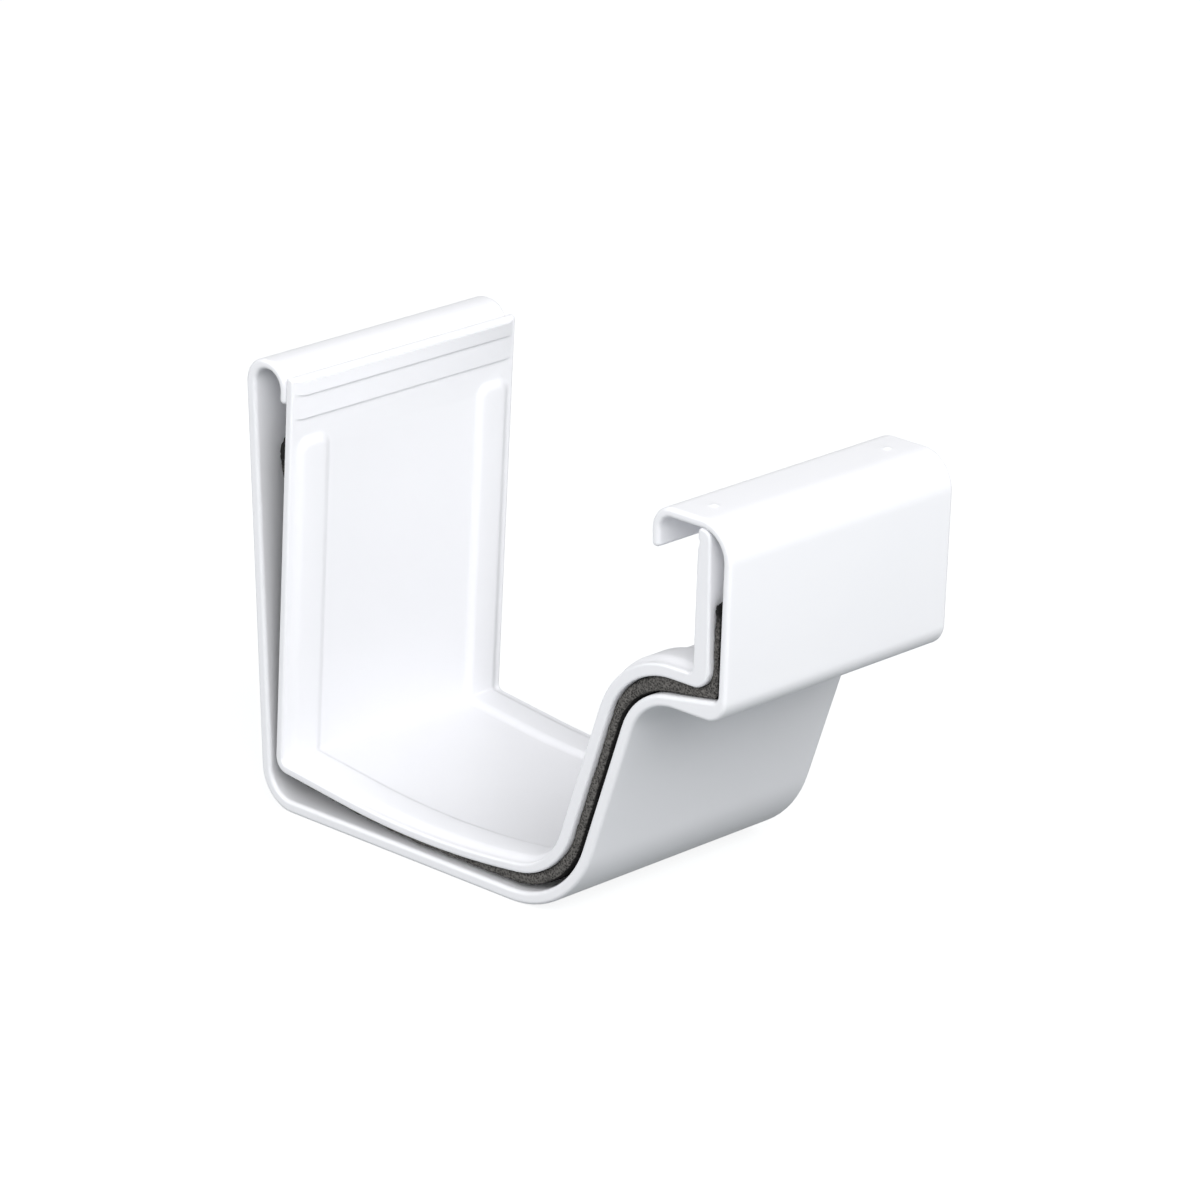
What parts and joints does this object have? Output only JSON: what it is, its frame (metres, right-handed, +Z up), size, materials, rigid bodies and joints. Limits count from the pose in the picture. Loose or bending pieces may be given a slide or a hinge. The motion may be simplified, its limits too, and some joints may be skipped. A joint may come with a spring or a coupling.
{
  "type": "gutter connector",
  "caption": "Slip-joint connector for an ogee gutter: a white shell with a rolled back hook and curled front lip, a nested liner, and foam seal strips between them.",
  "frame": {"origin": "centre of the bounding box, on the plane of the shell's underside", "axes": "+X along the gutter, +Y to the back (fascia side), -Y to the front, +Z up"},
  "size_m": [0.0604, 0.1323, 0.094],
  "materials": {
    "shell_vinyl": "gloss",
    "liner_vinyl": "gloss",
    "seal_foam": "porous matte"
  },
  "bodies": {
    "root": {"outer_shell": "shell_vinyl", "inner_liner": "liner_vinyl", "seal_strip_left": "seal_foam", "seal_strip_right": "seal_foam"}
  },
  "joints": []
}
